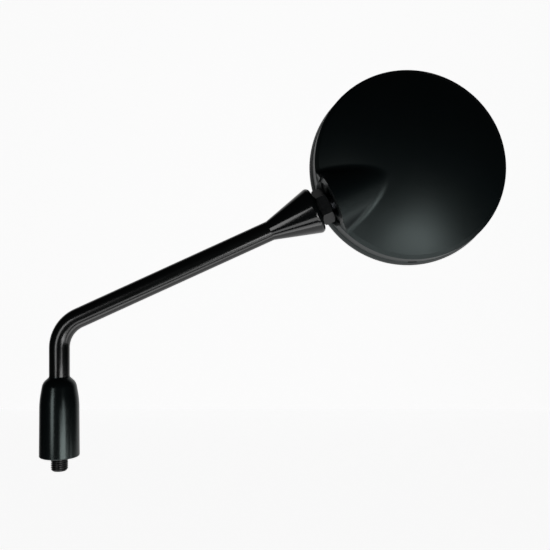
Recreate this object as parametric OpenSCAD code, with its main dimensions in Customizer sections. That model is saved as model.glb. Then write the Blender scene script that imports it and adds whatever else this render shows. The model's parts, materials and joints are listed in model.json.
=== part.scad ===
// Round motorcycle mirror on a bent stem, seen from behind its head.
// The stem screws into a handlebar boss: z = 0 is the seat on the boss, z runs up the leg,
// x runs out along the arm and y runs from the back of the head towards its glass.

/* [Stem] */
// Diameter of the bent steel rod
rod_d = 12; // [11:0.5:13]
// Height above the seat where the centre lines of leg and arm cross
leg_h = 76.9; // [72:0.1:110]
// Length of the arm from that crossing to the ferrule
arm_len = 137.9; // [100:0.1:180]
// Rise of the arm above the horizontal, in degrees
arm_rise = 24.5; // [10:0.5:40]
// Centre-line radius of the bend
bend_r = 19.4; // [16:0.2:24]

/* [Threaded foot] */
// Thread diameter of the foot
foot_d = 10; // [8:1:10]
// Length of thread that stands free below the seat
foot_free = 8.5; // [7:0.5:30]
// Length of thread above the seat, up to the shoulder of the rod
foot_up = 21; // [18:1:24]
// Chamfer on the end of the thread
foot_chamfer = 1; // [0.5:0.1:1.5]
// Width across the flats of the base lock nut
base_nut_af = 14; // [13:1:15]
// Height of the base lock nut
base_nut_h = 8; // [5:0.5:10]

/* [Rubber boot] */
// Height of the boot
boot_h = 47.5; // [44:0.5:50]
// Diameter of the boot at its mouth
boot_d = 23.5; // [22:0.5:28]
// Diameter of the boot where its straight part ends
boot_waist_d = 23; // [22:0.5:27]
// Diameter of the boot where its shoulder starts to round over
boot_shoulder_d = 19.8; // [18:0.2:21]
// Height of the straight part of the boot
boot_straight_h = 33.3; // [28:0.1:35]
// Height of the long taper above the straight part
boot_taper_h = 9.6; // [6:0.1:10]
// Wall thickness of the boot
boot_wall = 2; // [1.5:0.1:2.5]
// Length of the neck that grips the rod
boot_neck_h = 6; // [4:0.5:7]

/* [Ferrule] */
// Length of the cone that caps the arm
cone_len = 30.7; // [28:0.1:36]
// Diameter of the cone at its wide end
cone_d = 28; // [26:0.5:32]
// Radius of the rounded lip at the wide end
cone_round = 2.6; // [1.5:0.1:3.5]
// Diameter of the turned-down rod end inside the cone
spigot_d = 9; // [7:0.5:9.5]
// Length of the turned-down rod end
spigot_len = 13.5; // [10:0.5:14]

/* [Ball stud] */
// Thread diameter of the ball stud
stud_d = 12; // [10:1:12]
// Length of stud thread inside the cone
stud_depth = 12; // [9:0.5:13]
// Width across the flats of the head lock nut
head_nut_af = 19; // [18:0.5:19.5]
// Height of the head lock nut
head_nut_h = 7.5; // [6:0.5:8]
// Distance from the nut to the centre of the ball
ball_reach = 11.4; // [11.2:0.1:14]
// Diameter of the ball
ball_d = 14; // [13:0.5:14.5]
// Diameter of the neck behind the ball
neck_d = 9; // [7:0.5:9]
// Wall thickness of the two plastic cups round the ball
cup_t = 1.3; // [1:0.1:1.6]
// Height of the ball that the cups leave open on the neck side, from the centre
cup_cut = 4.4; // [4:0.1:4.6]

/* [Head pose] */
// Swing of the head about the ball towards its glass side, in degrees
pan = 5.5; // [-8:0.5:8]
// Roll of the head about the stud, in degrees
roll = 4.3; // [-20:0.1:20]

/* [Head shell] */
// Diameter of the rim just in front of the crease
rim_d = 116.7; // [114:0.1:122]
// Distance of the crease inside the rim, where the dome meets the bevel
crease_in = 2.45; // [2:0.05:3]
// Growth of the rim radius towards the front, for release from the mould
rim_draft = 0.25; // [0:0.05:0.4]
// Height of the bevel between the crease and the rim
bevel_h = 1.8; // [1.4:0.1:3]
// Height of the dome above the crease
dome_h = 14; // [12:0.5:18]
// Depth of the shell from the crease to its front edge
shell_depth = 12; // [11:0.5:14]
// Wall thickness of the shell
wall = 2.5; // [2:0.1:2.8]
// Distance of the ball inside the rim, along the arm
joint_in = 13.6; // [12.6:0.05:14.2]
// Distance of the ball from the middle of the head, across the arm
joint_y = 2.1; // [0:0.1:4]
// Depth of the ball in front of the crease
joint_z = 0.8; // [0.4:0.1:1.5]
// Distance from the ball to the flat end of the blister
face_reach = 10.5; // [10.2:0.1:11]
// Thickness of the shell behind that flat end
face_t = 2.5; // [2:0.1:2.8]
// Depth of the round relief in the flat end, which lets the nut tilt in
relief_depth = 1.2; // [1:0.1:1.4]
// Radius of that relief
relief_r = 13.2; // [12.9:0.1:13.6]
// Half width of the notch in the rim that the nut stands in
notch_r = 14.3; // [13.9:0.1:14.8]
// Radius of the hole that the neck passes through
neck_hole_r = 6.4; // [6.2:0.1:6.8]
// Diameter of the conical blister at its flat end
blister_d = 36.6; // [34:0.2:38]
// Taper of the blister on each side, in degrees
blister_taper = 9.2; // [7:0.1:12]
// Width of the drain slot in the front edge of the rim
slot_w = 5.4; // [3:0.1:8]
// Depth of the drain slot
slot_h = 1.8; // [1:0.1:2.5]
// Place of the drain slot round the rim, in degrees from the outer end
slot_angle = -113; // [-130:1:-70]

/* [Ribs and bosses] */
// Thickness of the ribs inside the shell
rib_t = 1.8; // [1.2:0.1:2.2]
// Number of spokes, counted as if they went all the way round
rib_count = 10; // [8:2:12]
// Gap between the head of the far clamp screw and the round rib that the spokes start from
rib_ring_gap = 3.45; // [2.5:0.05:6]
// Wall thickness of the socket that holds the rear cup
socket_t = 2.4; // [2:0.1:3]
// Radius of the screw bosses
boss_r = 4.2; // [3.8:0.1:4.4]
// Depth of the pilot holes in the bosses
pilot_depth = 6; // [5:0.1:6.4]

/* [Ball clamp] */
// Thickness of the steel clamp plate
plate_t = 1.6; // [1.2:0.1:2]
// Radius of each ear of the clamp plate
ear_r = 5; // [4.6:0.1:5.4]
// Gap between the clamp plate and the bosses before it is pulled up
clamp_gap = 0.3; // [0.1:0.1:0.5]
// Distance from the ball to the far clamp screw
far_screw_x = 17.5; // [16.5:0.1:17.8]
// Distance along the arm from the ball to the two side screws
side_screw_x = 4; // [3:0.1:6]
// Distance across the arm from the ball to the two side screws
side_screw_y = 14; // [13.6:0.1:14.6]
// Diameter of the screw shanks
screw_d = 3.9; // [3:0.1:4.2]
// Diameter of the screw heads
screw_head_d = 7.6; // [6.6:0.1:8]
// Height of the screw heads
screw_head_h = 2.4; // [2:0.1:2.8]
// Thickness of the spring washers
washer_t = 0.9; // [0.6:0.1:1.2]
// Split of the spring washers
washer_split = 1; // [0.6:0.1:1.5]

/* [Bezel and glass] */
// How far the bezel ring stands out past the rim, all round
bezel_proud = 1.65; // [0.3:0.05:2.2]
// Depth of the bezel ring in front of the shell
bezel_depth = 6.4; // [6:0.1:8]
// Thickness of the front lip of the bezel
lip_t = 1.5; // [1:0.1:2]
// Radial cover of the lip over the edge of the gasket
lip_cover = 2.7; // [2:0.1:3.5]
// Length of the snap skirt that the bezel pushes into the shell
skirt_h = 4; // [3.5:0.1:4.5]
// Thickness of the snap skirt
skirt_t = 1.5; // [1.2:0.1:1.8]
// Height of the snap bead on the skirt
bead_h = 0.4; // [0.2:0.05:0.6]
// Thickness of the mirror glass
glass_t = 2.2; // [1.8:0.1:2.4]
// Radius of curvature of the convex glass
glass_curve_r = 1200; // [1000:50:1400]
// Wall thickness of the rubber gasket round the glass
gasket_t = 0.8; // [0.6:0.1:1]
// Cover of the gasket over the glass
gasket_cover = 2; // [1.5:0.1:2.5]
// Thickness of the foam disc behind the glass
foam_t = 1.6; // [1:0.1:1.8]

/* [Hidden] */
$fn = 96;

// Clearances
turn_fit = 0.05;    // a nut on its thread, and the boot on the rod
ball_fit = 0.08;    // the ball in its cups, and the cups in their socket
seat = 0.1;         // flat faces of pieces that seat on each other
soft_seat = 0.2;    // rubber and foam against what they press on
cut = 0.5;          // how far a cutting shape runs past a face
boss_drop = 0.4;    // the screw bosses stand this far past the middle of the ball
bend_thinning = 0.02;  // the rod draws in by a hair where it is bent

rod_r = rod_d / 2;
foot_r = foot_d / 2;
stud_r = stud_d / 2;
ball_r = ball_d / 2;
neck_r = neck_d / 2;
cone_r = cone_d / 2;
bend_run = bend_r * tan((90 - arm_rise) / 2);
leg_top = leg_h - bend_run;

// Places along the arm, from where the centre lines cross
cone_end = arm_len + cone_len;
nut_start = cone_end + seat;
ball_u = nut_start + head_nut_h + ball_reach;

// Sphere radii round the ball, from the inside out
cup_in_r = ball_r + ball_fit;
cup_out_r = cup_in_r + cup_t;
socket_in_r = cup_out_r + ball_fit;
socket_out_r = socket_in_r + socket_t;
dish_out_r = socket_in_r + plate_t;

// Head profile, from the crease plane
rim_r = rim_d / 2;
crease_r = rim_r - crease_in;
joint_x = rim_r - joint_in;
bezel_r = rim_r + bezel_proud;
rim_front_r = rim_r + rim_draft;
inner_r = rim_r - wall;
dome_r = (crease_r * crease_r + dome_h * dome_h) / (2 * dome_h);
blister_r = blister_d / 2;
big_fn = 1440;

// Levels inside the head, measured from the crease plane and negative towards the glass
split_z = -joint_z;
boss_z = split_z - boss_drop;
plate_z = boss_z - clamp_gap;
washer_z = plate_z - plate_t - seat;
screw_z = washer_z - washer_t - seat;
front_z = -shell_depth;
bezel_z = front_z - bezel_depth;
lip_z = bezel_z + lip_t;
gasket_z = lip_z + seat;
glass_z = gasket_z + gasket_t + seat;
glass_back_z = glass_z + glass_t;
foam_z = glass_back_z + seat;
foam_back_z = foam_z + foam_t;
rib_z = foam_back_z + soft_seat;

// Radii of the glass stack, from the outside in
skirt_out_r = inner_r - seat;
skirt_in_r = skirt_out_r - skirt_t;
gasket_r = skirt_in_r - seat;
glass_r = gasket_r - gasket_t - seat;
gasket_in_r = glass_r - gasket_cover;
foam_r = gasket_in_r - soft_seat;
lip_r = skirt_in_r - lip_cover;
bead_z = front_z + skirt_h / 2;

rib_ring_r = joint_x - far_screw_x - screw_head_d / 2 - rib_ring_gap;
screw_places = [[far_screw_x, 0], [side_screw_x, side_screw_y], [side_screw_x, -side_screw_y]];

black_steel = "#1c1e1f";
satin_plastic = "#17191a";
soft_rubber = "#101112";
zinc = "#8d9094";

// Points of a round corner about [x, y], from angle a0 to a1
function arc(x, y, r, a0, a1, steps = 8) =
    [for (i = [0:steps]) let (a = a0 + (a1 - a0) * i / steps) [x + r * cos(a), y + r * sin(a)]];

module arm_frame() { translate([0, 0, leg_h]) rotate([0, -arm_rise, 0]) children(); }

// Turns a shape made round z so that it lies round the arm, with its z = 0 at u
module round_arm(u) { arm_frame() translate([u, 0, 0]) rotate([0, 90, 0]) children(); }

// x out along the arm, y up across it, z towards the back, origin in the middle of the crease
module head_frame() {
    arm_frame() translate([ball_u, 0, 0]) rotate([0, 0, pan]) rotate([90 - roll, 0, 0])
        translate([joint_x, joint_y, joint_z]) children();
}

// The same directions as the head, with the origin at the middle of the ball
module at_ball() { translate([-joint_x, -joint_y, -joint_z]) children(); }

// From the ball, turns z so that it points down the neck and out of the head
module round_neck() { at_ball() rotate([0, -90, 0]) children(); }

// A hexagon nut with its bearing faces chamfered and its thread entries countersunk
module hex_nut(af, h, bore_r) {
    corner_r = af / 2 / cos(30);
    slope = tan(30);
    sink = 0.6;
    difference() {
        intersection() {
            cylinder(r = corner_r, h = h, $fn = 6);
            rotate_extrude() polygon([
                [0, 0], [af * 0.48, 0], [corner_r + cut, (corner_r + cut - af * 0.48) * slope],
                [corner_r + cut, h - (corner_r + cut - af * 0.48) * slope], [af * 0.48, h], [0, h]]);
        }
        translate([0, 0, -cut]) cylinder(r = bore_r, h = h + 2 * cut);
        for (end = [0, 1]) translate([0, 0, end * h]) mirror([0, 0, end])
            translate([0, 0, -cut]) cylinder(r1 = bore_r + sink + cut, r2 = bore_r, h = sink + cut);
    }
}

module stem_rod() color(black_steel) {
    groove = 0.35;
    groove_h = 0.8;
    groove_z = 3 * seat;
    bend_lap = 1.5;
    difference() {
        union() {
            rotate_extrude() polygon([
                [0, -foot_free], [foot_r - foot_chamfer, -foot_free],
                [foot_r, -foot_free + foot_chamfer], [foot_r, foot_up - rod_r + foot_r],
                [rod_r, foot_up], [rod_r, leg_top], [0, leg_top]]);
            // The bend starts and ends just inside the straight stretches
            translate([bend_r, 0, leg_top]) rotate([90, 0, 0]) rotate([0, 0, 90 + arm_rise - bend_lap])
                rotate_extrude(angle = 90 - arm_rise + 2 * bend_lap)
                    translate([bend_r, 0]) circle(r = rod_r - bend_thinning);
            round_arm(bend_run) cylinder(r = rod_r, h = arm_len - bend_run);
            round_arm(arm_len - cut) cylinder(r = spigot_d / 2, h = spigot_len + cut);
        }
        // Thread relief just inside the base nut
        translate([0, 0, groove_z]) difference() {
            cylinder(r = rod_r + cut, h = groove_h);
            translate([0, 0, -cut]) cylinder(r = foot_r - groove, h = groove_h + 2 * cut);
        }
    }
}

// Turned cone, brazed over the rod's spigot and tapped for the ball stud
module arm_ferrule() color(black_steel) {
    run = cone_len - cone_round;
    rise = cone_r - cone_round - rod_r;
    lean = atan2(rise, run) + asin(cone_round / norm([rise, run]));
    round_arm(arm_len) difference() {
        rotate_extrude() polygon(concat(
            [[0, 0], [rod_r, 0]],
            arc(cone_r - cone_round, run, cone_round, -lean, 90),
            [[0, cone_len]]));
        translate([0, 0, -cut]) cylinder(r = spigot_d / 2 + turn_fit, h = spigot_len + seat + cut);
        translate([0, 0, cone_len - stud_depth - 2 * seat])
            cylinder(r = stud_r + turn_fit, h = stud_depth + 2 * seat + cut);
        translate([0, 0, cone_len - 1]) cylinder(r1 = stud_r, r2 = stud_r + 1, h = 1.001);
    }
}

// Outline of the boot: straight skirt, long taper, round shoulder and a thin lip on the rod
function boot_outline(skirt_r, waist_r, shoulder_r, lip_r, straight_h, taper_h, top) =
    let (shoulder_z = straight_h + taper_h, lip_h = top - shoulder_z, turn = lip_h * 0.62)
    concat(
        [[skirt_r, 0], [waist_r, straight_h]],
        arc(shoulder_r - turn, shoulder_z, turn, 0, 68),
        [[lip_r + lip_h * 0.12, top - lip_h * 0.18], [lip_r, top]]);

module rubber_boot() color(soft_rubber) {
    lip_r = rod_r + 0.3;
    bore_top = boot_h - boot_neck_h;
    difference() {
        rotate_extrude() polygon(concat([[0, 0]],
            boot_outline(boot_d / 2, boot_waist_d / 2, boot_shoulder_d / 2, lip_r,
                         boot_straight_h, boot_taper_h, boot_h),
            [[0, boot_h]]));
        translate([0, 0, -cut]) cylinder(r = rod_r + turn_fit, h = boot_h + 2 * cut);
        rotate_extrude() polygon([
            [0, -cut], [boot_d / 2 - boot_wall, -cut], [boot_waist_d / 2 - boot_wall, boot_straight_h],
            [rod_r + 1, bore_top], [0, bore_top]]);
    }
}

module base_lock_nut() color(zinc)
    translate([0, 0, 3 * seat]) hex_nut(base_nut_af, base_nut_h, foot_r + turn_fit);

module head_lock_nut() color(black_steel)
    round_arm(nut_start) hex_nut(head_nut_af, head_nut_h, stud_r + turn_fit);

module ball_stud() color(zinc) {
    shank = stud_depth + seat + head_nut_h + seat;
    round_arm(cone_end - stud_depth) {
        rotate_extrude() polygon([
            [0, 0], [stud_r - 1, 0], [stud_r, 1], [stud_r, shank],
            [neck_r, shank + (stud_r - neck_r) / 2], [neck_r, shank + ball_reach - ball_r / 2],
            [0, shank + ball_reach - ball_r / 2]]);
    }
    round_arm(ball_u) sphere(r = ball_r);
}

// One half of the plastic liner round the ball, side 1 at the back and -1 at the front
module ball_cup(side) {
    half_gap = 0.3;
    size = 4 * cup_out_r;
    head_frame() at_ball() mirror([0, 0, side > 0 ? 0 : 1]) intersection() {
        difference() {
            rotate([90, 0, 0]) sphere(r = cup_out_r);
            rotate([90, 0, 0]) sphere(r = cup_in_r);
        }
        translate([-cup_cut, -size / 2, half_gap]) cube(size);
    }
}

module ball_cup_rear() color("#d8d6cd") ball_cup(1);
module ball_cup_front() color("#d8d6cd") ball_cup(-1);

// The form of the shell without its blister, shrunk all over by inset: dome and rim, and on the
// outside also the bevel between them, which is carried on past the crease until the dome ends it
module dome_form(inset, front) {
    past = dome_h / 4;
    lean = (rim_r - crease_r) / bevel_h;
    bevel = [[rim_r, -bevel_h], [crease_r - past * lean, past], [crease_r - past * lean, dome_h + 1]];
    straight = [[rim_r - inset, -bevel_h], [rim_r - inset, dome_h + 1]];
    rotate_extrude() intersection() {
        translate([0, dome_h - dome_r]) circle(r = dome_r - inset, $fn = big_fn);
        polygon(concat([[0, front], [rim_front_r - inset, front]], inset > 0 ? straight : bevel,
                       [[0, dome_h + 1]]));
    }
}

// The conical blister over the ball joint, shrunk by inset and ended by the rim
module blister_form(inset) {
    start = -joint_x + far_screw_x * 2;
    reach = 2 * joint_x;
    slope = tan(blister_taper);
    intersection() {
        at_ball() translate([far_screw_x * 2, 0, 0]) rotate([0, -90, 0])
            cylinder(r1 = blister_r - inset - (face_reach + far_screw_x * 2) * slope,
                     r2 = blister_r - inset + (reach - face_reach - far_screw_x * 2) * slope, h = reach);
        translate([0, 0, -bevel_h - inset - cut]) cylinder(r = rim_r - inset - 0.15, h = 3 * dome_h);
    }
}

module shell_form(inset, front) {
    dome_form(inset, front);
    blister_form(inset);
}

// The hollow of the shell, which stops at the thick flat wall that the neck passes through
module shell_hollow() {
    intersection() {
        shell_form(wall, front_z - cut);
        translate([-joint_x - face_reach + face_t, -rim_r, -2 * rim_r]) cube([4 * rim_r, 2 * rim_r, 4 * rim_r]);
    }
}

// Room for the lock nut and the neck, at every tilt of the head
module nut_room() {
    reach = rim_front_r - joint_x + cut;
    round_neck() {
        translate([0, 0, face_reach]) linear_extrude(reach) {
            circle(r = notch_r);
            translate([0, -notch_r]) square([4 * notch_r, 2 * notch_r]);
        }
        translate([0, 0, face_reach - relief_depth]) cylinder(r = relief_r, h = reach);
        cylinder(r = neck_hole_r, h = face_reach);
    }
}

// Spokes and a round rib that carry the foam disc and stiffen the dome
module foam_ribs() {
    spread = 360 / rib_count;
    reach = floor(108 / spread);
    difference() {
        translate([0, 0, rib_z]) linear_extrude(dome_h - rib_z) {
            difference() {
                circle(r = rib_ring_r);
                circle(r = rib_ring_r - rib_t);
            }
            for (i = [-reach:reach]) rotate([0, 0, i * spread])
                translate([rib_ring_r - rib_t / 2, -rib_t / 2]) square([inner_r - rib_ring_r + rib_t, rib_t]);
        }
        // Room for the skirt of the bezel
        translate([0, 0, rib_z - cut]) difference() {
            cylinder(r = rim_r + cut, h = front_z + skirt_h - rib_z + 2 * cut);
            cylinder(r = skirt_in_r - 3 * seat, h = front_z + skirt_h - rib_z + 2 * cut);
        }
    }
}

// Half-round socket for the rear cup on crossed ribs, and the three screw bosses
module joint_bosses() {
    at_ball() {
        intersection() {
            union() {
                sphere(r = socket_out_r);
                for (along = [0, 90]) rotate([0, 0, along])
                    translate([-socket_out_r - 3, -rib_t / 2, 0]) cube([2 * socket_out_r + 6, rib_t, 2 * dome_h]);
            }
            translate([-2 * rim_r, -2 * rim_r, 0]) cube(4 * rim_r);
        }
        for (p = screw_places) translate([p.x, p.y, boss_z - split_z]) cylinder(r = boss_r, h = 2 * dome_h);
    }
}

module head_shell() color(satin_plastic) head_frame() difference() {
    union() {
        difference() {
            shell_form(0, front_z);
            shell_hollow();
        }
        intersection() {
            shell_form(wall / 2, rib_z);
            union() {
                joint_bosses();
                foam_ribs();
            }
        }
    }
    nut_room();
    at_ball() sphere(r = socket_in_r);
    at_ball() for (p = screw_places)
        translate([p.x, p.y, boss_z - split_z - cut]) cylinder(r = screw_d / 2 + turn_fit, h = pilot_depth + cut);
    bead_ring(seat);
    drain_slot();
}

// The snap bead of the bezel, grown by a clearance to give the groove in the shell
module bead_ring(grow) {
    half = bead_h + grow;
    translate([0, 0, bead_z]) rotate_extrude() polygon([
        [skirt_in_r + 0.3, -half - 0.4], [skirt_out_r, -half - 0.4], [skirt_out_r + half, -0.2],
        [skirt_out_r + half, 0.2], [skirt_out_r, half + 0.4], [skirt_in_r + 0.3, half + 0.4]]);
}

module drain_slot() {
    rotate([0, 0, slot_angle]) translate([skirt_in_r - cut, -slot_w / 2, front_z - cut])
        cube([rim_r - skirt_in_r + 4, slot_w, slot_h + cut]);
}

// A flat strip with round ends
module strip(a, b, r) {
    d = b - a;
    translate(a) circle(r = r);
    translate(b) circle(r = r);
    translate(a) rotate(atan2(d.y, d.x)) translate([0, -r]) square([norm(d), 2 * r]);
}

// Pressed steel plate with a dish for the front cup and three ears
module clamp_plate() color(zinc) head_frame() at_ball() {
    top = plate_z - split_z;
    difference() {
        union() {
            translate([0, 0, top - plate_t]) linear_extrude(plate_t) {
                strip([side_screw_x, -side_screw_y], [side_screw_x, side_screw_y], ear_r);
                strip([0, 0], [far_screw_x, 0], ear_r);
            }
            intersection() {
                sphere(r = dish_out_r);
                translate([-2 * dish_out_r, -2 * dish_out_r, top - 4 * dish_out_r]) cube(4 * dish_out_r);
            }
        }
        sphere(r = socket_in_r);
        rotate([0, -90, 0]) cylinder(r = neck_hole_r, h = 2 * dish_out_r);
        translate([-face_reach + face_t + 3 * seat - 4 * dish_out_r, -2 * dish_out_r, -4 * dish_out_r])
            cube([4 * dish_out_r, 4 * dish_out_r, 8 * dish_out_r]);
        for (p = screw_places)
            translate([p.x, p.y, top - plate_t - cut]) cylinder(r = screw_d / 2 + 3 * seat, h = plate_t + 2 * cut);
    }
}

module clamp_washers() color(zinc) head_frame() at_ball() for (p = screw_places)
    translate([p.x, p.y, washer_z - split_z - washer_t]) difference() {
        cylinder(r = screw_head_d / 2, h = washer_t);
        translate([0, 0, -cut]) cylinder(r = screw_d / 2 + 2 * seat, h = washer_t + 2 * cut);
        translate([0, -washer_split / 2, -cut]) cube([screw_head_d, washer_split, washer_t + 2 * cut]);
    }

// Pan-head tapping screws with a cross recess
module clamp_screws() color(zinc) head_frame() at_ball() for (p = screw_places)
    translate([p.x, p.y, screw_z - split_z]) {
        head_r = screw_head_d / 2;
        shank = boss_z - screw_z + pilot_depth - 4 * seat;
        difference() {
            union() {
                cylinder(r = screw_d / 2, h = shank - screw_d / 3);
                translate([0, 0, shank - screw_d / 3])
                    cylinder(r1 = screw_d / 2, r2 = screw_d / 6, h = screw_d / 3);
                rotate_extrude() polygon([
                    [0, 0], [head_r, 0], [head_r, -screw_head_h * 0.45],
                    [head_r * 0.86, -screw_head_h * 0.82], [head_r * 0.6, -screw_head_h], [0, -screw_head_h]]);
            }
            for (turn = [0, 90]) rotate([0, 0, turn])
                translate([-head_r * 0.5, -0.5, -screw_head_h - cut]) cube([head_r, 1, 1.4 + cut]);
        }
    }

// Half section of a disc that is curved like the glass, with its edge between z0 and z1
module curved_section(r, z0, t) {
    bulge = glass_curve_r - sqrt(glass_curve_r * glass_curve_r - r * r);
    intersection() {
        difference() {
            translate([0, z0 - bulge + glass_curve_r]) circle(r = glass_curve_r, $fn = 4 * big_fn);
            translate([0, z0 - bulge + glass_curve_r]) circle(r = glass_curve_r - t, $fn = 4 * big_fn);
        }
        translate([0, z0 - bulge - 1]) square([r, t + bulge + 2]);
    }
}

module foam_disc() color("#2b2c2e") head_frame() rotate_extrude() curved_section(foam_r, foam_z, foam_t);

module mirror_glass() color("#c9d2d6") head_frame() rotate_extrude() curved_section(glass_r, glass_z, glass_t);

// U-section ring that wraps the edge of the glass
module glass_gasket() color(soft_rubber) head_frame() rotate_extrude() polygon([
    [gasket_in_r, gasket_z], [gasket_r, gasket_z], [gasket_r, glass_back_z + seat + gasket_t],
    [gasket_in_r, glass_back_z + seat + gasket_t], [gasket_in_r, glass_back_z + seat],
    [glass_r + seat, glass_back_z + seat], [glass_r + seat, glass_z - seat],
    [gasket_in_r, glass_z - seat]]);

// Front ring with a lip over the glass and a skirt that snaps into the shell
module bezel_ring() color(satin_plastic) head_frame() difference() {
    edge = 0.9;
    back_z = front_z - seat;
    union() {
        rotate_extrude() polygon(concat(
            [[skirt_in_r, back_z], [skirt_in_r, lip_z], [lip_r, lip_z], [lip_r + 0.5, bezel_z]],
            arc(bezel_r - edge, bezel_z + edge, edge, -90, 0),
            arc(bezel_r - edge / 2, back_z - edge / 2, edge / 2, 0, 90)));
        rotate_extrude() translate([skirt_in_r, back_z - cut]) square([skirt_t, skirt_h + cut]);
        bead_ring(0);
    }
    nut_room();
    drain_slot();
    // The skirt stops either side of the thick flat wall
    translate([-joint_x - face_reach + face_t - 2 * rim_r + 3 * seat, -rim_r, back_z])
        cube([2 * rim_r, 2 * rim_r, skirt_h + cut]);
}

stem_rod();
arm_ferrule();
rubber_boot();
base_lock_nut();
head_lock_nut();
ball_stud();
ball_cup_rear();
ball_cup_front();
head_shell();
clamp_plate();
clamp_washers();
clamp_screws();
foam_disc();
glass_gasket();
mirror_glass();
bezel_ring();
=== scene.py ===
# %% [markdown]
# # A round motorcycle mirror
# The object is a round rear-view mirror: a black moulded head on a bent, painted steel stem that
# screws into a handlebar boss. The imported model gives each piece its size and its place. This
# script dresses that model: what shows is modelled again with finer forms, and every piece gets
# the finish of the material that the real one is made of.

import bpy
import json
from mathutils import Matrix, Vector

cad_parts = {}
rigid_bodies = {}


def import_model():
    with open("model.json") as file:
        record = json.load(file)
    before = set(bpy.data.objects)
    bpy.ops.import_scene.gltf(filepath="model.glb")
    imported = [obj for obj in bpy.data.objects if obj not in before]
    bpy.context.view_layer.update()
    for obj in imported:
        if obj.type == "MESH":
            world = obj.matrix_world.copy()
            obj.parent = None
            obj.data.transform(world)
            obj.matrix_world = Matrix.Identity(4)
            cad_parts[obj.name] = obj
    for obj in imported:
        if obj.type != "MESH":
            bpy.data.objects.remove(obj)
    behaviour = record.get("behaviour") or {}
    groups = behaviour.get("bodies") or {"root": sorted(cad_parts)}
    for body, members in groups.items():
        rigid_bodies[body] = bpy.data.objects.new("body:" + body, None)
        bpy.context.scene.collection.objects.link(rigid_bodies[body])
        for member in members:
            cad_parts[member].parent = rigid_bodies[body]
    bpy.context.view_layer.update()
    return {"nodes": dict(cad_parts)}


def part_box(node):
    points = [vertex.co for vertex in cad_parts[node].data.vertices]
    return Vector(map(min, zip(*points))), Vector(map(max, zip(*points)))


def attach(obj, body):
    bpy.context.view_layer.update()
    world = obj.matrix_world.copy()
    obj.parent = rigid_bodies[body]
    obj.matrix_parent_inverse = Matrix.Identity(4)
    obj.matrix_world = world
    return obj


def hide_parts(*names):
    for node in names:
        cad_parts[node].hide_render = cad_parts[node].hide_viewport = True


for startup_thing in list(bpy.data.objects):
    bpy.data.objects.remove(startup_thing)
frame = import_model()

# %% [markdown]
# ## Camera, floor and light
# The photo looks at the back of the head from straight ahead, at about the height of the arm, with
# a fairly close lens. The camera stands where the stem and the head line up with the photo.

# %% Camera
import math

from mathutils import Matrix, Vector

scene = bpy.context.scene
camera = bpy.data.objects.new("camera", bpy.data.cameras.new("camera"))
scene.collection.objects.link(camera)
camera.location = (0.1283, -0.4464, 0.1077)
camera.rotation_euler = (math.radians(90), 0, 0)
camera.data.lens = 49.09
scene.camera = camera
scene.view_settings.view_transform = "Standard"
print("camera distance from the arm:", -camera.location.y)

# %% [markdown]
# Every material below is made of nodes, so one small helper adds a node, changes its settings and
# fills its inputs, either with a value or with the output of another node. Colours are written as
# on a colour picker, in sRGB, and turned to the linear values that the renderer works with.

# %% Helpers for materials
def linear(hex_colour):
    """Linear RGBA of an sRGB colour such as 1c1e1f."""
    shares = [int(hex_colour[i:i + 2], 16) / 255 for i in (0, 2, 4)]
    return [c / 12.92 if c <= 0.04045 else ((c + 0.055) / 1.055) ** 2.4 for c in shares] + [1.0]


def node(material, kind, inputs=None, **settings):
    """Adds a node to a material or world, with its settings and its inputs."""
    tree = material.node_tree
    made = tree.nodes.new("ShaderNode" + kind)
    for name, value in settings.items():
        setattr(made, name, value)
    for name, value in (inputs or {}).items():
        if isinstance(value, bpy.types.NodeSocket):
            tree.links.new(value, made.inputs[name])
        else:
            made.inputs[name].default_value = value
    return made


def new_finish(name, colour, **values):
    """A material with one shader, its colour in hex, and the shader's other values by name."""
    material = bpy.data.materials.new(name)
    material.use_nodes = True
    shader = material.node_tree.nodes["Principled BSDF"]
    shader.inputs["Base Color"].default_value = linear(colour)
    for key, value in values.items():
        shader.inputs[key.replace("_", " ")].default_value = value
    return material, shader


# %% [markdown]
# The floor and the wall behind it are the white paper of a product photo. Light Path adds to them
# only what the camera and shiny surfaces see, so the paper looks white without throwing more light
# on the object, and the object still leaves its soft shadow. Reflections show the paper toned down,
# which keeps the rim of the head as dark as in the photo.

# %% Floor and backdrop
in_gloss, paper_light = 0.62, 0.92


def seen_share(material):
    """1 for what the camera sees itself, in_gloss for what it sees in gloss or glass, else 0."""
    ray = node(material, "LightPath")
    shiny = node(material, "Math", {0: ray.outputs["Is Glossy Ray"],
                                    1: ray.outputs["Is Transmission Ray"]}, operation="MAXIMUM")
    toned = node(material, "Math", {0: shiny.outputs[0], 1: in_gloss}, operation="MULTIPLY")
    return node(material, "Math", {0: toned.outputs[0], 1: ray.outputs["Is Camera Ray"]},
                operation="MAXIMUM").outputs[0]


paper, paper_shader = new_finish("white_paper", "f0f0f0", Roughness=0.9)
paper_glow = node(paper, "Math", {0: seen_share(paper), 1: paper_light}, operation="MULTIPLY")
paper.node_tree.links.new(paper_glow.outputs[0], paper_shader.inputs["Emission Strength"])
paper_shader.inputs["Emission Color"].default_value = (1, 1, 1, 1)

middle_x, paper_width = 0.13, 1.6
floor_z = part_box("stem_rod")[0].z - 0.25
floor_front, floor_back, wall_top = -0.1, 1.6, 0.9
for name, y, z, length, turn in (
        ("floor", (floor_front + floor_back) / 2, floor_z, floor_back - floor_front, 0),
        ("wall", floor_back, (floor_z + wall_top) / 2, wall_top - floor_z, 90)):
    bpy.ops.object.select_all(action="DESELECT")
    bpy.ops.mesh.primitive_plane_add(size=1, location=(middle_x, y, z),
                                     rotation=(math.radians(turn), 0, 0))
    sheet = bpy.context.object
    sheet.name, sheet.scale = name, (paper_width, length, 1)
    sheet.data.materials.append(paper)
print("floor at", round(floor_z, 4), "and wall at", floor_back)

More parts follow.
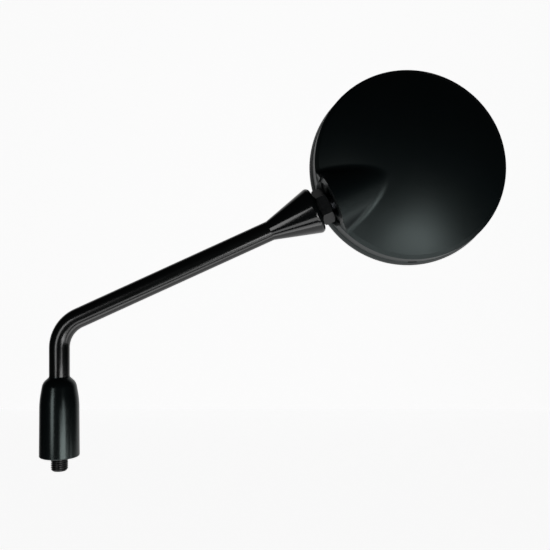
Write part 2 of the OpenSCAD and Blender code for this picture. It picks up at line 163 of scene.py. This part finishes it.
# %% [markdown]
# Black gloss shows little but the lamps, so each line of light in the photo tells where one stood.
# The leg shows two lines, from a tall soft box on the left and a small one on the right. The dome
# is black above, where the studio is dark, and grey below, where it sees a low panel in front. The
# two thin lines under the cone are the edges of the white table, here two strips that lie flat and
# face up. The world is white where the camera looks past the paper, and in reflections only behind
# the object, since a white world in front would turn the black dome grey.

# %% Soft boxes and world
def soft_box(name, spot, width, height, brightness, aim=None):
    """A lamp that reflections show as a surface of this brightness; without an aim it faces up."""
    lamp = bpy.data.lights.new(name, "AREA")
    lamp.shape = "RECTANGLE"
    lamp.size, lamp.size_y = width, height
    lamp.energy = brightness * math.pi * width * height
    holder = bpy.data.objects.new(name, lamp)
    scene.collection.objects.link(holder)
    holder.location = spot
    turn = (math.pi, 0, 0)
    if aim:
        turn = (Vector(aim) - Vector(spot)).to_track_quat("-Z", "Y").to_euler()
    holder.rotation_euler = turn
    holder.visible_camera = False
    print(name, round(lamp.energy, 2), "W")


soft_box("left_box", (-0.42, -0.87, 0.0), 0.26, 0.5, 3.2, aim=(0.1, 0, 0.1))
soft_box("right_box", (0.4, -0.5, -0.02), 0.14, 0.18, 1.8, aim=(0.21, 0, 0.12))
soft_box("low_panel", (0.37, -0.5, -0.17), 0.36, 0.14, 4.7, aim=(0.2, 0, 0.13))
soft_box("front_strip", (0.2, -0.27, -0.163), 0.8, 0.13, 1.9)
soft_box("under_strip", (0.2, -0.07, -0.163), 0.8, 0.1, 1.8)

dark_studio = 0.008
world = bpy.data.worlds.new("studio")
world.use_nodes = True
scene.world = world
heading = node(world, "SeparateXYZ", {0: node(world, "TexCoord").outputs["Generated"]})
behind = node(world, "MapRange", {"Value": heading.outputs["Y"], "From Min": 0.4, "From Max": 0.95},
              interpolation_type="SMOOTHSTEP")
by_camera = node(world, "LightPath").outputs["Is Camera Ray"]
white_side = node(world, "Math", {0: behind.outputs[0], 1: by_camera}, operation="MAXIMUM")
white = node(world, "Math", {0: white_side.outputs[0], 1: seen_share(world)},
             operation="MULTIPLY")
grey = node(world, "MapRange", {"Value": white.outputs[0], "To Min": dark_studio, "To Max": 1.0})
air = world.node_tree.nodes["Background"]
air.inputs["Color"].default_value = (1, 1, 1, 1)
world.node_tree.links.new(grey.outputs[0], air.inputs["Strength"])

# %% [markdown]
# ## Helpers for modelling
# An operator acts on everything that is selected, so each step first makes one object the only one
# that is selected. Round pieces are turned as on a lathe: half of their outline is drawn with
# rounded corners and spun about its axis.

# %% One object at a time, and rounded outlines
mm = 0.001


def only(thing):
    """Makes one object the only selected and active one."""
    bpy.ops.object.select_all(action="DESELECT")
    thing.select_set(True)
    bpy.context.view_layer.objects.active = thing
    return thing


def rounded(corners, steps=5):
    """Points of an outline in mm, from corners given as (radius, height, corner radius)."""
    points = []
    for i, (x, z, r) in enumerate(corners):
        here = Vector((x, z))
        if r == 0:
            points.append(here)
            continue
        back = (Vector(corners[i - 1][:2]) - here).normalized()
        on = (Vector(corners[(i + 1) % len(corners)][:2]) - here).normalized()
        half = back.angle(on) / 2
        centre = here + (back + on).normalized() * r / math.sin(half)
        start, end = (here + side * r / math.tan(half) - centre for side in (back, on))
        points += [centre + start.slerp(end, k / steps).normalized() * r for k in range(steps + 1)]
    return points


# %% The lathe
def spun(name, outline, steps=128, closed=True):
    """A solid turned about z from half of its outline in mm, closed or with both ends on z."""
    count = len(outline)
    edges = [(i, (i + 1) % count) for i in range(count if closed else count - 1)]
    mesh = bpy.data.meshes.new(name)
    mesh.from_pydata([(x * mm, 0, z * mm) for x, z in outline], edges, [])
    piece = bpy.data.objects.new(name, mesh)
    scene.collection.objects.link(piece)
    only(piece)
    bpy.ops.object.mode_set(mode="EDIT")
    bpy.ops.mesh.select_all(action="SELECT")
    bpy.ops.mesh.spin(steps=steps, angle=math.tau, center=(0, 0, 0), axis=(0, 0, 1))
    bpy.ops.mesh.select_all(action="SELECT")
    bpy.ops.mesh.remove_doubles(threshold=1e-6)
    bpy.ops.mesh.normals_make_consistent(inside=False)
    bpy.ops.object.mode_set(mode="OBJECT")
    return piece


# %% Cutting, placing and dressing
def combine(piece, tool, operation="DIFFERENCE"):
    """Cuts a piece with a tool, joins them or keeps what they share. The tool is used up."""
    step = piece.modifiers.new("combine", "BOOLEAN")
    step.object, step.operation, step.solver = tool, operation, "EXACT"
    only(piece)
    bpy.ops.object.modifier_apply(modifier=step.name)
    bpy.data.objects.remove(tool)
    return piece


def place(piece, matrix):
    """Puts a piece where the matrix says, in its mesh, so that its object stays at the origin."""
    only(piece)
    piece.matrix_world = matrix
    bpy.ops.object.transform_apply(location=True, rotation=True, scale=True)
    return piece


def dress(piece, body, materials, nodes=(), smooth_angle=35):
    """Shades a piece, gives it its materials and sets it on its body in place of the CAD nodes."""
    only(piece)
    bpy.ops.object.transform_apply(location=True, rotation=True, scale=True)
    bpy.ops.object.shade_smooth_by_angle(angle=math.radians(smooth_angle))
    for material in materials:
        piece.data.materials.append(material)
    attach(piece, body)
    if nodes:
        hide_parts(*nodes)
    print(piece.name, len(piece.data.polygons), "faces, on", body)
    return piece


# %% [markdown]
# The stem and the head each have a frame of their own. The arm rises from the top of the leg, and
# the head hangs on a ball at the arm's end, turned a little about it. Pieces are modelled upright
# round z and then placed by these frames.

# %% Frames of the arm and the head
leg_h, arm_len, arm_rise, bend_r = 76.9, 137.9, math.radians(24.5), 19.4
cone_len, nut_h, ball_reach, seat = 30.7, 7.5, 11.4, 0.1
ball_u = arm_len + cone_len + seat + nut_h + ball_reach
pan, roll = math.radians(5.5), math.radians(4.3)
joint = Vector((-44.75, -2.1, -0.8))  # middle of the ball, seen from the middle of the head

arm = Matrix.Translation((0, 0, leg_h * mm)) @ Matrix.Rotation(-arm_rise, 4, "Y")
head = (arm @ Matrix.Translation((ball_u * mm, 0, 0)) @ Matrix.Rotation(pan, 4, "Z")
        @ Matrix.Rotation(math.pi / 2 - roll, 4, "X") @ Matrix.Translation(-joint * mm))


def round_arm(u):
    """Turns a piece made round z so that it lies round the arm, with its z = 0 at u mm."""
    return arm @ Matrix.Translation((u * mm, 0, 0)) @ Matrix.Rotation(math.pi / 2, 4, "Y")


print("ball at", [round(c, 4) for c in head @ (joint * mm)])

# %% [markdown]
# ## What finishes are made of
# A real surface is never even, so each finish gets a noise or two of the size in millimetres that
# the real unevenness has. One noise lifts the surface as a bump, and another makes it a little more
# or less shiny from place to place.

# %% Helpers for finishes
def noise(material, size, detail):
    """A noise with lumps about size mm wide, which stays on the object when it moves."""
    spot = node(material, "TexCoord").outputs["Object"]
    return node(material, "TexNoise", {"Vector": spot, "Scale": 1 / (size * mm),
                                       "Detail": detail}).outputs[0]


def bumps(material, height, strength, depth):
    """A bump from a noise, depth in mm."""
    return node(material, "Bump", {"Height": height, "Strength": strength,
                                   "Distance": depth * mm}).outputs[0]


def between(material, value, low, high):
    """A value from 0 to 1 spread between low and high."""
    return node(material, "MapRange", {"Value": value, "To Min": low, "To Max": high}).outputs[0]


def feed(material, shader, **sources):
    """Links outputs to the shader's inputs by name."""
    for name, source in sources.items():
        material.node_tree.links.new(source, shader.inputs[name.replace("_", " ")])


# %% [markdown]
# ## Gloss enamel
# Rod and ferrule are sprayed with black enamel and baked. The eye sees deep black with crisp, pale
# reflections that wobble slightly, because the lacquer flows into waves a millimetre or two wide
# before it sets. That orange peel is a noise bump a few thousandths of a millimetre high.

# %% Enamel for the rod and the ferrule
def enamel(name, colour, roughness):
    """Sprayed and baked enamel over steel, with its orange peel and a haze of dust."""
    material, shader = new_finish(name, colour, Roughness=roughness, IOR=1.5, Coat_Weight=0.25,
                                  Coat_Roughness=0.08)
    peel, dust = noise(material, 1.6, 1.0), noise(material, 9, 4.0)
    feed(material, shader, Normal=bumps(material, peel, 0.35, 0.02),
         Roughness=between(material, dust, roughness * 0.8, roughness * 1.3))
    return material


rod_enamel = enamel("rod_enamel", "0b0d0d", 0.2)
cone_enamel = enamel("cone_enamel", "0b0d0e", 0.13)
print("enamels:", rod_enamel.name, cone_enamel.name)

# %% [markdown]
# ## Plated steel
# Nuts, stud, screws and the clamp plate are zinc plated. Bright zinc is a slightly blue silver with
# soft reflections and faint clouds in it. The nut at the head and the foot's thread are passivated
# black, which keeps the metal's soft shine under a dark film. The ball stud carries grease, which
# makes its zinc dark and dull.

# %% Zinc plating, bright, black and greased
def plating(name, colour, roughness, metallic):
    """Zinc plating with faint clouds a few millimetres wide."""
    material, shader = new_finish(name, colour, Metallic=metallic)
    cloud, fine = noise(material, 3, 5.0), noise(material, 0.25, 2.0)
    feed(material, shader, Normal=bumps(material, fine, 0.2, 0.01),
         Roughness=between(material, cloud, roughness * 0.7, roughness * 1.4))
    return material


bright_zinc = plating("bright_zinc", "b4b8bd", 0.32, 1.0)
black_zinc = plating("black_passivated_zinc", "0f1112", 0.3, 0.0)
greased_zinc = plating("greased_zinc", "4a4c50", 0.42, 1.0)
print("platings:", bright_zinc.name, black_zinc.name, greased_zinc.name)

# %% [markdown]
# ## Moulded plastic and rubber
# The head and its ring are moulded ABS. The mould was spark eroded, which leaves a fine even grain
# of about a third of a millimetre, so highlights are broad and soft. The boot is moulded rubber,
# a little shinier, with a faint grey bloom. The ball cups are natural acetal, milky and waxy.

# %% Moulded finishes
def moulded(name, colour, roughness, grain, depth, bloom, bloom_size=14.0, **values):
    """A moulded surface: grain and depth in mm, and a second colour that clouds it."""
    material, shader = new_finish(name, colour, Roughness=roughness, **values)
    cells, cloud = noise(material, grain, 1.0), noise(material, bloom_size, 4.0)
    tint = node(material, "Mix", {0: cloud, 6: linear(colour), 7: linear(bloom)}, data_type="RGBA")
    feed(material, shader, Base_Color=tint.outputs[2], Normal=bumps(material, cells, 0.4, depth),
         Roughness=between(material, cloud, roughness * 0.94, roughness * 1.06))
    return material


sheen = linear("ecfffd")  # the faint blue-green cast of the black moulded pieces
shell_abs = moulded("shell_abs", "040a0c", 0.4, 0.35, 0.02, "060c0e", IOR=1.53,
                    Specular_Tint=sheen)
ring_abs = moulded("ring_abs", "070b0c", 0.36, 0.35, 0.015, "0a0e0f", IOR=1.53,
                   Specular_Tint=sheen)
boot_rubber = moulded("boot_epdm", "070b0c", 0.21, 0.3, 0.01, "0c1011", 8.0, IOR=1.52,
                      Specular_Tint=sheen)
gasket_rubber = moulded("gasket_epdm", "0d0e0f", 0.6, 0.3, 0.02, "141617", 8.0, IOR=1.52)
acetal = moulded("acetal", "dcd9cd", 0.35, 0.4, 0.005, "e4e1d6", Subsurface_Weight=0.1, IOR=1.48)
foam_cells = moulded("foam_cells", "303133", 0.95, 0.6, 0.2, "3a3b3d", 3.0, IOR=1.4)
print("moulded finishes:", shell_abs.name, ring_abs.name, boot_rubber.name, gasket_rubber.name,
      acetal.name, foam_cells.name)

# %% [markdown]
# ## Silvered glass
# The mirror is float glass, bent over a convex mould and silvered behind. The silver gives the
# reflection and the glass in front adds a thin clear layer. The edge is ground, which makes it
# frosted and slightly green.

# %% Mirror and its ground edge
silver, silver_shader = new_finish("silvered_glass", "e9eeee", Metallic=1.0, Coat_Weight=1.0,
                                   Coat_Roughness=0.01)
wiped = noise(silver, 22, 3.0)
feed(silver, silver_shader, Roughness=between(silver, wiped, 0.012, 0.03))
ground_edge = moulded("ground_edge", "9db5aa", 0.5, 0.2, 0.01, "a9c0b5", IOR=1.52)
print("glass finishes:", silver.name, ground_edge.name)

# %% [markdown]
# ## The bent rod
# The stem is a 12 mm steel rod, cut to length, turned down to a thread at the foot, and bent cold
# over a former. In the mesh the same order works: a ring of edges is pulled up the leg, spun round
# the bend, and pulled out along the arm.

# %% Rod: leg, bend and arm
rod_r, foot_r, foot_free = 6.0, 5.0, 8.5
spigot_r, spigot_len = 4.5, 13.5  # what goes into the ferrule
core_r = foot_r * 0.98  # the rod's own end, hidden inside the thread
shoulder_z = 21.1  # where the foot widens to the rod
chamfer_r = rod_r * 0.985
bend_run = bend_r * math.tan((math.pi / 2 - arm_rise) / 2)
leg_top = leg_h - bend_run
along = Vector((math.cos(arm_rise), 0, math.sin(arm_rise)))


def pull(step, grow=1.0, about=(0, 0, 0)):
    """Extrudes the selected ring by a step in mm and then scales it about a point in mm."""
    bpy.ops.mesh.extrude_region_move(TRANSFORM_OT_translate={"value": Vector(step) * mm})
    if grow != 1.0:
        bpy.ops.transform.resize(value=(grow, grow, grow), center_override=Vector(about) * mm)


bpy.ops.object.select_all(action="DESELECT")
bpy.ops.mesh.primitive_circle_add(vertices=72, radius=core_r * mm, location=(0, 0, 19 * mm))
rod = bpy.context.object
rod.name = "bent_rod"
bpy.ops.object.mode_set(mode="EDIT")
pull((0, 0, 1))
pull((0, 0, 0.9), chamfer_r / core_r, (0, 0, shoulder_z - 0.2))
pull((0, 0, 0.2), rod_r / chamfer_r, (0, 0, shoulder_z))
pull((0, 0, leg_top - shoulder_z))
bpy.ops.mesh.spin(steps=28, angle=math.pi / 2 - arm_rise, center=(bend_r * mm, 0, leg_top * mm),
                  axis=(0, -1, 0))
arm_end = Vector((0, 0, leg_h)) + along * arm_len
pull(along * (arm_len - bend_run))
pull(along * 0, spigot_r / rod_r, arm_end)
pull(along * spigot_len)
bpy.ops.mesh.select_all(action="DESELECT")
bpy.ops.mesh.select_non_manifold()
bpy.ops.mesh.edge_face_add()
bpy.ops.mesh.select_all(action="SELECT")
bpy.ops.mesh.remove_doubles(threshold=1e-6)
bpy.ops.mesh.normals_make_consistent(inside=False)
bpy.ops.object.mode_set(mode="OBJECT")
print("arm ends at", [round(c, 2) for c in arm_end])

# %% [markdown]
# The foot carries a real M10 thread with a pitch of 1.25 mm. One pitch of its outline, with a
# crest an eighth of the pitch wide and a root a quarter of it, is swept by a Screw modifier, cut
# square at both ends, and given the chamfer that lets it start in the boss.

# %% The foot's thread
pitch = 1.25
root_r = foot_r - 0.613 * pitch
thread_top = 19.8
turns = math.ceil((foot_free + thread_top) / pitch) + 3
flanks = [(foot_r, 0), (foot_r, 0.125), (root_r, 0.4375), (root_r, 0.6875), (foot_r, 1)]
mesh = bpy.data.meshes.new("foot_thread")
start_z = -foot_free - 2 * pitch
mesh.from_pydata([(r * mm, 0, (start_z + share * pitch) * mm) for r, share in flanks],
                 [(i, i + 1) for i in range(len(flanks) - 1)], [])
thread = bpy.data.objects.new("foot_thread", mesh)
scene.collection.objects.link(thread)
only(thread)
sweep = thread.modifiers.new("sweep", "SCREW")
sweep.steps = sweep.render_steps = 48
sweep.screw_offset, sweep.iterations = pitch * mm, turns
sweep.use_merge_vertices, sweep.merge_threshold = True, 1e-6
bpy.ops.object.modifier_apply(modifier=sweep.name)
bpy.ops.object.mode_set(mode="EDIT")
bpy.ops.mesh.select_all(action="SELECT")
bpy.ops.mesh.remove_doubles(threshold=1e-6)
for cut_z, below in ((-foot_free, True), (thread_top, False)):
    bpy.ops.mesh.select_all(action="SELECT")
    bpy.ops.mesh.bisect(plane_co=(0, 0, cut_z * mm), plane_no=(0, 0, 1), use_fill=True,
                        clear_inner=below, clear_outer=not below, threshold=1e-6)
bpy.ops.mesh.select_all(action="SELECT")
bpy.ops.mesh.normals_make_consistent(inside=False)
bpy.ops.object.mode_set(mode="OBJECT")
chamfer_line = [(0, -9.5), (2.95, -9.5), (5.05, -7.4), (5.05, 21), (0, 21)]
combine(thread, spun("chamfer", chamfer_line, 96, closed=False), "INTERSECT")
print("thread:", turns, "turns,", len(thread.data.polygons), "faces")

# %% Rod and thread on the stem
dress(rod, "stem", [rod_enamel], ["stem_rod"])
dress(thread, "stem", [black_zinc], smooth_angle=25)

# %% [markdown]
# ## The ferrule
# The cone at the end of the arm is turned from bar, bored from behind for the rod's spigot, tapped
# in front for the ball stud, and brazed on. Its wide end has a big rounded lip that catches the
# light. It is one lathe outline, from the bottom of the tapped hole round to the spigot's bore.

# %% Ferrule
ferrule_line = rounded([(0, 18.5, 0), (6.05, 18.5, 0), (6.05, 29.7, 0), (7.05, 30.7, 0),
                        (14.86, 30.7, 2.6), (6.02, 0, 0), (4.55, 0, 0), (4.55, 13.6, 0),
                        (0, 13.6, 0)], steps=12)
ferrule = place(spun("ferrule", ferrule_line, 144, closed=False), round_arm(arm_len))
dress(ferrule, "stem", [cone_enamel], ["arm_ferrule"])

# %% [markdown]
# ## The rubber boot
# The boot hides the lock nut. It is moulded in one piece, straight below, tapered above, and its
# shoulder turns in to a thin lip that grips the rod and stands up it a little.

# %% Boot
boot_line = rounded([(9.75, 0, 0.5), (11.75, 0, 0.7), (11.5, 33.3, 55), (9.69, 43.87, 7),
                     (6.16, 46.95, 0.8), (6.12, 47.5, 0), (6.05, 47.5, 0), (6.05, 41.5, 0.3),
                     (7.2, 41.0, 0.5), (9.5, 33.3, 4)], steps=10)
boot = spun("boot", boot_line, 128)
dress(boot, "boot", [boot_rubber], ["rubber_boot"])

# %% [markdown]
# ## Hexagon nuts
# A nut is sliced from hexagon bar. Both faces are chamfered on the lathe, which leaves the curved
# edges on its six corners, and the thread's mouth is countersunk.

# %% Nuts
def hexagon_nut(name, across_flats, height, bore_r):
    """A hexagon nut from z = 0 to its height, with chamfered corners and countersunk mouths."""
    corner = across_flats / 2 / math.cos(math.pi / 6)
    bpy.ops.object.select_all(action="DESELECT")
    bpy.ops.mesh.primitive_cylinder_add(vertices=6, radius=corner * mm, depth=height * mm,
                                        location=(0, 0, height / 2 * mm),
                                        rotation=(0, 0, math.radians(30)))
    nut = place(bpy.context.object, bpy.context.object.matrix_world.copy())
    nut.name = name
    flat, wide = across_flats * 0.48, corner + 1  # the chamfer starts just inside the flats
    drop = (wide - flat) * math.tan(math.pi / 6)
    lens = [(0, -0.01), (flat, -0.01), (wide, drop), (wide, height - drop), (flat, height + 0.01),
            (0, height + 0.01)]
    combine(nut, spun("lens", lens, 96, closed=False), "INTERSECT")
    mouth = [(0, -1), (bore_r + 1.6, -1), (bore_r, 0.6), (bore_r, height - 0.6),
             (bore_r + 1.6, height + 1), (0, height + 1)]
    combine(nut, spun("bore", mouth, 96, closed=False))
    return nut


head_nut = place(hexagon_nut("head_nut", 19.0, nut_h, 6.05), round_arm(arm_len + cone_len + seat))
dress(head_nut, "head_nut", [black_zinc], ["head_lock_nut"], 30)
base_nut = place(hexagon_nut("base_nut", 14.0, 8.0, 5.05), Matrix.Translation((0, 0, 0.3 * mm)))
dress(base_nut, "base_nut", [bright_zinc], ["base_lock_nut"], 30)

# %% [markdown]
# ## The head's housing
# The housing is moulded in one shot: a shallow dome, a crease, a short bevel, a nearly straight
# rim, and a conical blister over the ball joint that melts into the dome with a soft fillet. The
# outer skin is spun first. Then each vertex is lifted to a smooth union of dome and cone, which is
# the blend that a toolmaker polishes into the mould and that a plain cut would leave sharp.

# %% Skin of the dome and rim
crease_r, rim_r, bevel_h, dome_h, front_z, wall = 55.9, 58.35, 1.8, 14.0, -12.0, 2.5
dome_r = (crease_r ** 2 + dome_h ** 2) / (2 * dome_h)
dome_turn = math.asin(crease_r / dome_r)
rings = 56
skin_line = [(dome_r * math.sin(dome_turn * i / rings),
              dome_h - dome_r + dome_r * math.cos(dome_turn * i / rings), 0) for i in range(rings)]
skin_line += [(crease_r, 0, 0.5), (57.2, -0.955, 0), (rim_r - 0.15, -1.69, 0),
              (rim_r, -bevel_h, 0.2), (rim_r + 0.07, -5, 0), (rim_r + 0.25, front_z, 0.25),
              (0, front_z, 0)]
skin = spun("head_housing", rounded(skin_line), 540, closed=False)
print("skin:", len(skin.data.vertices), "vertices")

# %% The blister
import numpy as np

blister_end = -9.75  # the cone ends inside the dome, before its tip would pierce the far rim
blister_r, face_reach, taper = 18.3, 10.5, math.radians(9.2)


def depth_in_housing(x, y, z):
    """Distance in mm to the smooth union of dome and blister, negative inside."""
    r = np.hypot(x, y)
    sphere = np.sqrt(r ** 2 + (z - dome_h + dome_r) ** 2) - dome_r
    lean = math.hypot(bevel_h, rim_r - crease_r)
    bevel = ((r - crease_r) * bevel_h + z * (rim_r - crease_r)) / lean
    dome = np.maximum(sphere, bevel)
    width = blister_r + (joint.x - x - face_reach) * math.tan(taper)
    cone = (np.hypot(y - joint.y, z - joint.z) - width) * math.cos(taper)
    cone = np.maximum(cone, x - blister_end)
    blend = np.interp(x, (-56, -22), (4.2, 0.9))  # the fillet runs out towards the tip of the cone
    mix = np.clip(0.5 + 0.5 * (cone - dome) / blend, 0, 1)
    return cone + (dome - cone) * mix - blend * mix * (1 - mix)


count = len(skin.data.vertices)
points = np.empty(count * 3)
skin.data.vertices.foreach_get("co", points)
points = points.reshape(-1, 3) / mm
x, y, z = points.T
top = (np.hypot(x, y) < rim_r - 0.14) & (z > -bevel_h)
low, high = z.copy(), np.full(count, 30.0)
for _ in range(30):
    guess = (low + high) / 2
    inside = depth_in_housing(x, y, guess) < 0
    low, high = np.where(inside, guess, low), np.where(inside, high, guess)
points[:, 2] = np.where(top, np.maximum(low, z), z)
skin.data.vertices.foreach_set("co", (points * mm).ravel())
skin.data.update()
print("blister rises to", round(points[:, 2].max(), 2), "mm above the crease")

# %% [markdown]
# The housing is closed in front, hollowed by a smaller dome and cone, and cut for the nut, the neck
# and the drain. All the cutters are joined to one tool first, because cutting a fine mesh once is
# quicker and leaves cleaner faces than cutting it many times.

# %% Tools that hollow and notch the housing
notch_r, relief_r, relief_depth, neck_hole_r = 14.3, 13.2, 1.2, 6.4
drain_w, drain_turn = 5.4, math.radians(-113)


def box_tool(low, high):
    """A box between two corners in mm."""
    low, high = Vector(low), Vector(high)
    bpy.ops.object.select_all(action="DESELECT")
    bpy.ops.mesh.primitive_cube_add(size=1, location=(low + high) / 2 * mm, scale=(high - low) * mm)
    return place(bpy.context.object, bpy.context.object.matrix_world.copy())


def neck_tool(radius, start, end):
    """A cylinder along the neck, between two distances from the ball in mm."""
    bpy.ops.object.select_all(action="DESELECT")
    bpy.ops.mesh.primitive_cylinder_add(vertices=128, radius=radius * mm, depth=(end - start) * mm,
                                        location=(joint - Vector(((start + end) / 2, 0, 0))) * mm,
                                        rotation=(0, math.pi / 2, 0))
    return place(bpy.context.object, bpy.context.object.matrix_world.copy())


def nut_room():
    """Room for nut and neck: a U-shaped notch that is open to the back, a relief and a hole."""
    room = neck_tool(notch_r, face_reach, 20)
    combine(room, box_tool((joint.x - 20, joint.y - notch_r, joint.z),
                           (joint.x - face_reach, joint.y + notch_r, 40)), "UNION")
    combine(room, neck_tool(relief_r, face_reach - relief_depth, 19), "UNION")
    return combine(room, neck_tool(neck_hole_r, 0, 18), "UNION")


def drain_tool():
    """Box that cuts the drain slot in the lowest part of the rim."""
    tool = box_tool((53.7, -drain_w / 2, front_z - 0.5), (64, drain_w / 2, front_z + 1.8))
    return place(tool, Matrix.Rotation(drain_turn, 4, "Z"))


def hollow_tool(inset, low_z, groove):
    """The room in the housing: its skin moved in by inset, down to low_z, and the bead's groove."""
    inner, r = dome_r - inset, rim_r - inset
    edge = math.asin(r / inner)
    arc = [(inner * math.sin(edge * i / 24), dome_h - dome_r + inner * math.cos(edge * i / 24))
           for i in range(25)]
    if groove:
        arc += [(r, -9.2), (r + 0.5, -9.8), (r + 0.5, -10.2), (r, -10.8)]
    tool = spun("hollow", arc + [(r, low_z), (0, low_z)], 180, closed=False)
    bpy.ops.object.select_all(action="DESELECT")
    length, before = 70.0, 10.0
    wide = blister_r - inset + before * math.tan(taper)
    middle = joint + Vector((length / 2 - face_reach - before, 0, 0))
    bpy.ops.mesh.primitive_cone_add(vertices=180, radius1=wide * mm, depth=length * mm,
                                    radius2=(wide - length * math.tan(taper)) * mm,
                                    location=middle * mm, rotation=(0, math.pi / 2, 0))
    cone = place(bpy.context.object, bpy.context.object.matrix_world.copy())
    combine(tool, cone, "UNION")
    stop = joint.x - face_reach + inset
    return combine(tool, box_tool((stop, -80, -30), (80, 80, 40)), "INTERSECT")


hollow = hollow_tool(wall, front_z - 3, True)
combine(hollow, nut_room(), "UNION")
combine(hollow, drain_tool(), "UNION")
print("cutting tool:", len(hollow.data.polygons), "faces")

# %% Cut the housing
combine(skin, hollow)
print("housing:", len(skin.data.polygons), "faces")

# %% [markdown]
# Ribs, socket and screw bosses inside the housing are taken from the CAD model, which has them all.
# A copy of its shell is cut down to what lies inside the wall and is then joined to the new skin.

# %% Ribs, socket and bosses
ribs = frame["nodes"]["head_shell"].copy()
ribs.data = ribs.data.copy()
scene.collection.objects.link(ribs)
ribs.parent = None
place(ribs, head.inverted())
bpy.ops.object.mode_set(mode="EDIT")
bpy.ops.mesh.select_all(action="SELECT")
bpy.ops.mesh.remove_doubles(threshold=1e-6)
bpy.ops.object.mode_set(mode="OBJECT")
combine(ribs, hollow_tool(1.9, front_z + 0.1, False), "INTERSECT")
combine(skin, ribs, "UNION")
dress(place(skin, head), "head", [shell_abs], ["head_shell"])

# %% [markdown]
# ## The ring in front
# The bezel ring carries the glass. Its lip folds over the rubber edge, its skirt has a bead that
# snaps into a groove in the housing, and it stands 1.65 mm proud of the rim, so that from behind it
# shows as a dark band round the head.

# %% Bezel ring
ring_line = rounded([(54.25, -8.1, 0.2), (55.75, -8.1, 0.4), (55.75, -9.3, 0), (56.1, -9.8, 0.1),
                     (56.1, -10.2, 0.1), (55.75, -10.7, 0), (55.75, -12.1, 0), (58.75, -12.1, 0.4),
                     (60.0, -15.6, 4), (60.0, -18.4, 1.1), (52.05, -18.4, 0.3),
                     (51.55, -16.9, 0.15), (54.25, -16.9, 0)], steps=6)
ring = spun("bezel", ring_line, 360)
combine(ring, nut_room())
combine(ring, drain_tool())
combine(ring, box_tool((-70, -70, -12.1), (joint.x - face_reach + 2.8, 70, -7)))
dress(place(ring, head), "head", [ring_abs], ["bezel_ring"])

# %% [markdown]
# ## Glass, gasket and foam
# The glass is a shallow cap of a sphere 1.2 m in radius, so it shows a wider view than a flat
# mirror. Its ground edge sits in a U-shaped rubber ring, and a foam disc presses it forwards.

# %% Glass
curve_r = 1200.0


def cap_line(radius, edge_z, thickness, edge_round, steps=10):
    """Outline of a curved disc: front from the middle to the edge at edge_z, and back again."""
    front = []
    for i in range(steps):
        r = radius * i / steps
        bulge = math.sqrt(curve_r ** 2 - r ** 2) - math.sqrt(curve_r ** 2 - radius ** 2)
        front.append((r, edge_z - bulge, 0))
    edge = [(radius, edge_z, edge_round), (radius, edge_z + thickness, edge_round)]
    back = [(r, z + thickness, 0) for r, z, _ in reversed(front)]
    return rounded(front + edge + back)


glass = place(spun("mirror", cap_line(53.25, -15.9, 2.2, 0.4), 200, closed=False), head)
dress(glass, "head", [silver, ground_edge], ["mirror_glass"], 25)
axis = (head.to_3x3() @ Vector((0, 0, 1))).normalized()
for face in glass.data.polygons:
    face.material_index = int(abs(face.normal @ axis) < 0.9)
print("glass faces on the ground edge:", sum(f.material_index for f in glass.data.polygons))

# %% Gasket and foam
gasket_line = rounded([(51.25, -16.8, 0.3), (54.15, -16.8, 0.3), (54.15, -12.8, 0.3),
                       (51.25, -12.8, 0.3), (51.25, -13.6, 0.2), (53.35, -13.6, 0),
                       (53.35, -16.0, 0), (51.25, -16.0, 0.2)])
dress(place(spun("gasket", gasket_line, 200), head), "head", [gasket_rubber],
      ["glass_gasket"])
foam = place(spun("foam_pad", cap_line(51.05, -13.6, 1.6, 0.5), 160, closed=False), head)
dress(foam, "head", [foam_cells], ["foam_disc"])

# %% [markdown]
# ## Pieces that the CAD model already has
# Ball stud, cups, clamp plate, washers and screws lie inside the head, and the CAD model has their
# full form. They keep it, and only get their real finish.

# %% Finishes for the carried-over pieces
for name, material in (("ball_stud", greased_zinc), ("ball_cup_rear", acetal),
                       ("ball_cup_front", acetal), ("clamp_plate", bright_zinc),
                       ("clamp_washers", bright_zinc), ("clamp_screws", bright_zinc)):
    slots = frame["nodes"][name].material_slots
    for slot in slots:
        slot.material = material
    print(name, "has", len(slots), "slot(s) of", material.name)

# %% [markdown]
# ## Last cell
# The script ends by importing json and does nothing more.

# %% End
import json
